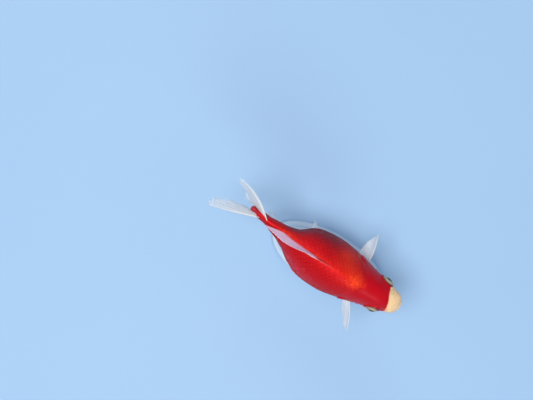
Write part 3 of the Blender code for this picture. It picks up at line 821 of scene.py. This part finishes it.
def make_scales(side, name, paint, rng):
    layout = Side(side)
    places = scale_places(side, layout)
    shape, faces = one_scale()
    turn = layout.turn(places[:, 0], places[:, 1])
    roots = flesh(places[:, 0], layout.angle(turn))
    keep = ~bare(roots)
    places, turn, roots = places[keep], turn[keep], roots[keep]
    count, per = len(places), len(shape)
    chance = rng.random((count, 4))
    size = 1 + 0.05 * (chance[:, :1] - 0.5)
    along = shape[None, :, 0] * size
    across = shape[None, :, 1] * size * 0.985
    # Behind the gill slit the hidden fronts are cut short, so that none lies across it.
    gill = from_gill(roots[:, 0], roots[:, 2])[0]
    front = np.clip((gill - 0.6) / places[:, 2], 0.12, 1.0)[:, None]
    share = places[:, :1] + np.where(along < 0, along * front, along) * places[:, 2:3] / BODY_LENGTH
    share = np.minimum(share, SKIN_END - 0.002)
    up = places[:, 1:2] + across * places[:, 3:4]
    # Each scale rises towards its free edge and bows down at its sides.
    lift = 0.02 + 0.17 * along - 0.06 * across ** 2 + 0.03 * (chance[:, 1:2] - 0.5) * along
    lift = lift * (0.8 + 0.2 * places[:, 3:4] / TALLEST_SCALE) + shape[None, :, 2] * SCALE_THICK
    angle = layout.angle(layout.turn(share.ravel(), up.ravel()))
    points = surface(share.ravel(), angle, lift.ravel())
    joined = (faces[None] + per * np.arange(count)[:, None, None]).reshape(-1, 4)
    mesh = bpy.data.meshes.new(name)
    mesh.from_pydata(points, [], joined)
    coat = added(name, mesh)
    lie = np.stack((places[:, 0], np.sin(turn), np.cos(layout.angle(turn))), 1)
    note(coat, "lie", np.repeat(lie, per, 0))
    note(coat, "root", np.repeat(posed(roots) / MM, per, 0))
    on_scale = np.stack((across.ravel(), along.ravel(), np.repeat(chance[:, 2] + places[:, 4], per)), 1)
    note(coat, "on_scale", on_scale)
    add_coat_map(coat, places[:, 0], layout.angle(turn), shape, joined)
    weld(coat, 0.0005 * MM)
    smooth_shaded(coat, 50)
    finished(coat, paint, "skin_red")


MAP_MARGIN, MAP_PATCH = 0.04, 0.0015


def add_coat_map(coat, share, angle, shape, joined):
    """Each scale is a small patch at its root's place on the unrolled skin."""
    middle = np.stack((share / SKIN_END, (angle / (2 * math.pi)) % 1.0), 1)
    middle = MAP_MARGIN + (1 - 2 * MAP_MARGIN) * middle
    below = shape[:, 2] < 0
    patch = MAP_PATCH * np.stack((shape[:, 0] - 0.12 * below, shape[:, 1] * (1 + 0.12 * below)), 1)
    places = (middle[:, None, :] + patch[None, :, :]).reshape(-1, 2)
    unrolled = coat.data.uv_layers.new(name="OFBake")
    unrolled.data.foreach_set("uv", places[joined.ravel()].astype(np.float32).ravel())


# ---- fins ----

def ray_table(keys, shares):
    """Roots, tips and bows of the rays at shares of the fin's spread."""
    found = []
    for part in (1, 2, 3):
        axes = [curve([(key[0], key[part][k]) for key in keys], shares) for k in range(3)]
        found.append(np.stack(axes, 1))
    return found


TAIL_X = SNOUT_X - BODY_LENGTH
FINS = {
    "dorsal_fin": (17, (
        (0.0, (-0.6, -0.3, 16.6), (-14.2, -0.6, 24.0), (0.3, 0.1, 0.9)),
        (0.35, (-8.5, 0.6, 16.0), (-22.5, -1.2, 21.0), (0.0, 0.2, 0.7)),
        (0.7, (-17.5, 1.7, 13.4), (-30.8, -2.9, 16.0), (0.0, 0.2, 0.5)),
        (1.0, (-25.8, 1.4, 10.4), (-38.8, -2.6, 10.6), (0.0, 0.3, 0.3)),
    )),
    "pectoral_fin_right": (14, (
        (0.0, (14.0, -8.0, -8.6), (21.7, -24.0, -7.5), (1.0, 0.3, 0.6)),
        (0.4, (12.6, -8.0, -9.5), (20.2, -22.6, -11.0), (0.5, 0.2, 0.2)),
        (1.0, (10.9, -7.6, -10.8), (15.2, -16.6, -13.6), (0.0, 0.1, 0.0)),
    )),
    "pectoral_fin_left": (14, (
        (0.0, (14.0, 8.0, -8.6), (11.2, 24.4, -8.0), (1.0, -0.2, 0.6)),
        (0.4, (12.6, 8.0, -9.5), (9.6, 21.6, -12.0), (0.7, -0.2, 0.2)),
        (1.0, (10.6, 7.6, -10.8), (8.2, 13.6, -14.2), (0.2, -0.1, 0.0)),
    )),
    "pelvic_fin_left": (9, (
        (0.0, (-3.0, 5.2, -14.4), (-18.9, 14.9, -18.6), (1.4, -1.4, -1.2)),
        (0.4, (-4.4, 4.4, -14.8), (-18.0, 12.0, -21.8), (1.0, -1.2, -1.2)),
        (1.0, (-6.0, 3.0, -15.2), (-13.8, 6.2, -21.2), (0.3, -0.3, -0.6)),
    )),
    "pelvic_fin_right": (9, (
        (0.0, (-3.0, -5.2, -14.4), (-20.4, -10.4, -19.2), (1.2, 1.6, -1.2)),
        (0.4, (-4.4, -4.4, -14.8), (-19.4, -8.0, -22.2), (0.8, 1.2, -1.2)),
        (1.0, (-6.0, -3.0, -15.2), (-14.6, -4.2, -21.2), (0.2, 0.3, -0.6)),
    )),
    "anal_fin_left": (7, (
        (0.0, (-25.4, 0.9, -8.4), (-41.6, 4.6, -15.4), (0.6, 0.6, -0.8)),
        (0.5, (-28.6, 1.0, -6.6), (-41.2, 3.4, -12.0), (0.2, 0.4, -0.5)),
        (1.0, (-31.8, 1.0, -5.0), (-39.0, 2.2, -8.0), (0.0, 0.2, -0.2)),
    )),
    "anal_fin_right": (7, (
        (0.0, (-25.4, -0.9, -8.4), (-39.6, -2.6, -17.0), (0.6, 0.0, -0.8)),
        (0.5, (-28.6, -1.0, -6.6), (-40.0, -2.2, -13.0), (0.2, 0.0, -0.5)),
        (1.0, (-31.8, -1.0, -5.0), (-38.6, -1.6, -8.2), (0.0, 0.0, -0.2)),
    )),
    "tail_fin_left_upper": (10, (
        (0.0, (TAIL_X + 5.0, -0.3, 7.1), (TAIL_X - 18.1, 7.3, 16.0), (0.0, 2.3, 0.8)),
        (0.22, (TAIL_X + 1.6, 0.4, 6.0), (TAIL_X - 18.0, 5.7, 13.2), (0.0, 1.6, 0.4)),
        (0.5, (TAIL_X - 0.6, 0.9, 4.4), (TAIL_X - 15.4, 4.6, 9.4), (0.0, 0.8, 0.0)),
        (1.0, (TAIL_X - 1.4, 0.7, 1.6), (TAIL_X - 9.2, 1.6, 2.2), (0.0, 0.3, 0.0)),
    )),
    "tail_fin_left_lower": (10, (
        (0.0, (TAIL_X - 1.4, 0.7, 1.2), (TAIL_X - 9.2, 1.6, 1.6), (0.0, 0.3, 0.0)),
        (0.5, (TAIL_X - 0.6, 0.7, -1.4), (TAIL_X - 14.2, 5.0, -5.6), (0.0, 0.8, 0.0)),
        (1.0, (TAIL_X + 2.0, 0.7, -3.6), (TAIL_X - 17.0, 6.4, -11.6), (0.0, 1.8, -0.8)),
    )),
    "tail_fin_right_upper": (10, (
        (0.0, (TAIL_X + 1.0, -1.3, 6.2), (TAIL_X - 20.9, -11.8, 14.6), (0.0, -0.4, 0.8)),
        (0.22, (TAIL_X + 0.4, -1.1, 5.6), (TAIL_X - 22.5, -8.9, 12.4), (0.0, -0.1, 0.4)),
        (0.5, (TAIL_X - 0.6, -0.8, 4.4), (TAIL_X - 17.6, -5.6, 8.8), (0.0, 0.2, 0.0)),
        (1.0, (TAIL_X - 1.4, -0.7, 1.6), (TAIL_X - 9.6, -1.6, 2.2), (0.0, 0.0, 0.0)),
    )),
    "tail_fin_right_lower": (10, (
        (0.0, (TAIL_X - 1.4, -0.7, 1.2), (TAIL_X - 9.6, -1.6, 1.6), (0.0, 0.0, 0.0)),
        (0.5, (TAIL_X - 0.6, -0.7, -1.4), (TAIL_X - 17.4, -6.2, -5.4), (0.0, 0.2, 0.0)),
        (1.0, (TAIL_X + 2.0, -0.7, -3.6), (TAIL_X - 22.6, -10.2, -10.8), (0.0, -0.2, -0.8)),
    )),
}
# The stiff leading ray is the last one on the lower lobes of the tail.
LEADS_LAST = ("tail_fin_left_lower", "tail_fin_right_lower")
BETWEEN_RAYS, ALONG_RAYS = 6, 44
TAIL_ROOT_THICK, FIN_ROOT_THICK, RAY_THICK, WEB_THICK = 1.9, 1.2, 0.4, 0.12
RIPPLE, LEVELS = 0.35, 160


def make_fin(name, paint, rng):
    rays, keys = FINS[name]
    columns = (rays - 1) * BETWEEN_RAYS
    fin, column, row = grid(name + "_web", columns, ALONG_RAYS)
    s, t = column / column.max(), row / row.max()
    root, tip, bow = (part[column] for part in ray_table(keys, np.arange(columns + 1) / columns))
    lead = 1 - s if name in LEADS_LAST else s
    beat = s * (rays - 1)
    # Rays fork on their outer half, and their tips stand a little past the web between them.
    single = np.abs(np.cos(math.pi * beat)) ** 5
    parting = 0.17 * soft_step(t, 0.4, 0.9)
    forked = np.maximum(*(np.abs(np.cos(math.pi * (beat + lean))) ** 9 for lean in (-parting, parting)))
    ray = single + (forked - single) * soft_step(t, 0.4, 0.6)
    edge = bell(lead, 0.75 / (rays - 1)) * (1 - 0.4 * t)
    uneven = rng.random(rays)[np.rint(beat).astype(int)]
    ragged = 0.035 * uneven + 0.035 * (1 - np.abs(np.cos(math.pi * beat)))
    reach = t * (1 - ragged * soft_step(t, 0.5, 1.0))
    points = root + (tip - root) * reach[:, None] + bow * (4 * reach * (1 - reach))[:, None]
    normal = np.cross(fin_across(keys, s), tip - root)
    normal /= np.linalg.norm(normal, axis=1)[:, None]
    phase = rng.random(2) * 6.28
    wave = np.sin(5.5 * s + phase[0] + 2.0 * t) + 0.6 * np.sin(11.0 * s + phase[1] - 1.5 * t)
    points += normal * (RIPPLE * wave * t ** 1.6 * (1 - edge))[:, None]
    place_corners(fin, posed(points))
    note(fin, "fin", np.stack((np.clip(ray, 0, 1), t, np.clip(edge, 0, 1)), 1))
    taper = 1 - 0.72 * t
    thick = WEB_THICK + (RAY_THICK - WEB_THICK) * np.clip(0.75 * ray + edge, 0, 1) * taper
    root_swell = (1 - soft_step(t, 0.0, 0.16)) ** 1.5
    if "tail" in name:
        thick += (TAIL_ROOT_THICK - RAY_THICK) * root_swell * soft_step(lead, 0.1, 0.4)
    else:
        thick += (FIN_ROOT_THICK - RAY_THICK) * root_swell
    group = fin.vertex_groups.new(name="thick")
    for level in range(LEVELS + 1):
        near = np.flatnonzero(np.rint(thick / TAIL_ROOT_THICK * LEVELS).astype(int) == level)
        if len(near):
            group.add(near.tolist(), level / LEVELS, "REPLACE")
    wall = fin.modifiers.new("wall", "SOLIDIFY")
    wall.thickness, wall.offset = TAIL_ROOT_THICK * MM, 0.0
    wall.vertex_group = "thick"
    apply_all(fin)
    weld(fin, 0.0005 * MM)
    smooth_shaded(fin)
    fin.vertex_groups.clear()
    finished(fin, paint, "fin_clear", name)


def fin_across(keys, s):
    """The direction from ray to ray, half way out along them."""
    low, high = np.clip(s - 0.02, 0, 1), np.clip(s + 0.02, 0, 1)
    before, after = ray_table(keys, low), ray_table(keys, high)
    return (after[0] + after[1]) / 2 - (before[0] + before[1]) / 2


# ---- eyes ----

def make_eye(name, side, paint):
    bpy.ops.mesh.primitive_uv_sphere_add(segments=72, ring_count=48, radius=1.0)
    ball = bpy.context.object
    ball.name = ball.data.name = "eyeball_" + name
    unit = corners(ball)
    tilt = np.arccos(np.clip(unit[:, 2], -1, 1))
    turn = np.arctan2(unit[:, 1], unit[:, 0])
    # The clear front bulges, with the lens pushing it out a little over the pupil.
    seen = np.sin(tilt) * EYE_RADIUS / IRIS_RADIUS
    front = tilt < math.pi / 2
    radius = EYE_RADIUS * (1 - 0.012 * bell(seen - 0.7, 0.2) + 0.012 * bell(seen, 0.42) * front)
    axis = EYE_AXIS * (1, side, 1)
    up = np.array((0.0, 0.0, 1.0)) - axis * axis[2]
    up /= np.linalg.norm(up)
    level = np.cross(up, axis)
    facing = unit[:, :1] * level + unit[:, 1:2] * up + EYE_FLAT * unit[:, 2:3] * axis
    place_corners(ball, posed(EYE_CENTRE * (1, side, 1) + facing * radius[:, None]))
    ring = np.where(front, seen, 2.0)
    note(ball, "gaze", np.stack((ring, np.sin(turn) + 2.0 * np.cos(turn), unit[:, 1]), 1))
    weld(ball)
    smooth_shaded(ball)
    finished(ball, paint, "eye", "eye_" + name)


# ---- stand ----

def make_base(paint):
    low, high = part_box("stand_base")
    bpy.ops.mesh.primitive_cylinder_add(vertices=128, radius=0.5, depth=1.0, location=(low + high) / 2)
    base = bpy.context.object
    base.name = base.data.name = "stand_plate"
    base.scale = high - low
    bpy.ops.object.transform_apply(location=True, rotation=True, scale=True)
    bpy.ops.object.mode_set(mode="EDIT")
    bpy.ops.mesh.select_all(action="DESELECT")
    bpy.ops.object.mode_set(mode="OBJECT")
    for face in base.data.polygons:
        face.select = face.normal.z > 0.9
    bpy.ops.object.mode_set(mode="EDIT")
    bpy.ops.mesh.select_mode(type="FACE")
    # A fine groove runs round the top, inside the edge.
    for inset, drop in ((2.4, 0.0), (0.25, -0.3), (0.3, 0.0), (0.25, 0.3)):
        bpy.ops.mesh.inset(thickness=inset * MM, depth=drop * MM)
    bpy.ops.object.mode_set(mode="OBJECT")
    soft = base.modifiers.new("soft", "BEVEL")
    soft.width, soft.segments = 1.1 * MM, 4
    soft.limit_method, soft.angle_limit = "ANGLE", math.radians(60)
    apply_all(base)
    smooth_shaded(base, 35)
    finished(base, paint, "stand_paint", "stand_base")


# Outlines from the top of the base up, as (radius, height) in millimetres.
BASE_TOP = 5.0
ROD_OUTLINE = (
    (0.0, 0.0), (3.4, 0.0), (3.4, 0.9), (3.15, 1.15), (2.3, 1.3), (1.9, 1.9), (1.62, 3.0), (1.5, 3.4),
    (1.5, 24.0), (1.5, 26.4), (1.1, 26.9), (0.0, 26.9),
)
PAD_OUTLINE = (
    (0.0, 23.6), (1.62, 23.6), (2.0, 23.9), (2.15, 24.6), (2.3, 25.6), (2.3, 26.6), (1.9, 27.8), (0.0, 28.4),
)


def make_rod(node, steel, pad):
    """A turned rod on a small flange, with a clear pad where it meets the belly."""
    low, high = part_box(node)
    middle = (low + high) / 2
    parts = (("turned_", ROD_OUTLINE, steel, (node,)), ("clear_", PAD_OUTLINE, pad, ()))
    for kind, outline, paint, nodes in parts:
        piece = turned(kind + node, [(r * MM, (z + BASE_TOP) * MM) for r, z in outline], 48)
        place_corners(piece, corners(piece) + (middle.x, middle.y, 0.0))
        weld(piece, 0.01 * MM)
        smooth_shaded(piece, 30)
        finished(piece, paint, "stand_steel", *nodes)


# ---- floor, light and camera ----

def make_floor():
    """A round pale floor that curves up at its edge into a low wall."""
    flat, curl, wall = 1.6, 1.0, 1.4
    turns = np.linspace(0, math.pi / 2, 13)
    outline = [(0.0, 0.0)] + [(flat + curl * math.sin(a), curl * (1 - math.cos(a))) for a in turns]
    outline.append((flat + curl, wall))
    floor = turned("floor", outline, 64)
    with editing(floor):
        bpy.ops.mesh.remove_doubles(threshold=MM)
    smooth_shaded(floor)
    paint = Paint("pale_floor")
    vector = paint.place()
    cloud = paint.noise(vector, 240.0)
    grain = paint.noise(vector, 1.2)
    colour = paint.mix(cloud, rgb(150, 182, 214), rgb(158, 189, 219))
    floor.data.materials.append(paint.done(
        Base_Color=colour, Roughness=0.65 + 0.1 * grain, Normal=paint.bump(grain, 0.03),
    ))


def add_lamp(name, place, target, size, power, colour=(1.0, 1.0, 1.0)):
    lamp = bpy.data.lights.new(name, "AREA")
    lamp.shape, lamp.size, lamp.energy, lamp.color = "DISK", size, power, colour
    made = added(name, lamp)
    made.location = place
    made.rotation_euler = (Vector(target) - Vector(place)).to_track_quat("-Z", "Y").to_euler()


def light_the_room():
    world = bpy.data.worlds.new("studio")
    bpy.context.scene.world = world
    world.use_nodes = True
    sky = world.node_tree.nodes["Background"].inputs
    sky["Color"].default_value, sky["Strength"].default_value = (0.84, 0.91, 1.0, 1.0), 0.52
    target = (-0.01, 0.0, 0.05)
    add_lamp("key_light", (-0.25, -0.2, 1.38), target, 0.6, 13.6, (1.0, 0.98, 0.95))
    add_lamp("fill_light", (1.1, -1.1, 1.0), target, 0.9, 9.0, (0.94, 0.97, 1.0))
    add_lamp("back_light", (-1.1, 1.3, 1.1), target, 0.9, 5.0)


CAMERA_X, CAMERA_Y, CAMERA_ABOVE, LENS = -43.7, 10.8, 450.0, 64.2


def place_camera():
    """Straight down on the fish, with its snout to the lower right of the picture."""
    right, up = Vector((0.858, 0.515, 0.0)).normalized(), Vector((-0.515, 0.858, 0.0)).normalized()
    camera = bpy.data.cameras.new("camera")
    made = added("camera", camera)
    made.matrix_world = Matrix((
        (right.x, up.x, 0.0, CAMERA_X * MM),
        (right.y, up.y, 0.0, CAMERA_Y * MM),
        (0.0, 0.0, 1.0, (AXIS_HEIGHT + CAMERA_ABOVE) * MM),
        (0.0, 0.0, 0.0, 1.0),
    ))
    camera.sensor_width, camera.lens = 36.0, LENS
    camera.clip_start, camera.clip_end = 0.01, 20.0
    bpy.context.scene.camera = made


SEED = 7


def main():
    bpy.context.scene.view_settings.view_transform = "Standard"
    rng = np.random.default_rng(SEED)
    place_camera()
    make_floor()
    light_the_room()
    make_skin(skin_paint())
    scales = scale_paint()
    make_scales(1, "scales_left", scales, rng)
    make_scales(-1, "scales_right", scales, rng)
    paints = {
        "dorsal": fin_paint(
            "dorsal_fin_web", RIDGE_RED, 0.42, rgb(250, 170, 198), (0.94, 0.86), front=(-13.2, -9.2),
        ),
        "tail": fin_paint("tail_fin_web", BACK_RED, 0.08, rgb(214, 220, 226), (0.66, 0.14), pale_edge=True),
        "pectoral": fin_paint("paired_fin_web", rgb(206, 84, 76), 0.17, GLASS_WHITE, (0.66, 0.4)),
        "anal": fin_paint("anal_fin_web", rgb(196, 60, 56), 0.42, GLASS_WHITE, (0.66, 0.42)),
    }
    paints["pelvic"] = paints["pectoral"]
    for name in FINS:
        make_fin(name, paints[name.split("_")[0]], rng)
    eyes = eye_paint()
    make_eye("left", 1, eyes)
    make_eye("right", -1, eyes)
    satin, steel, pad = stand_paints()
    make_base(satin)
    make_rod("stand_rod_front", steel, pad)
    make_rod("stand_rod_rear", steel, pad)


main()
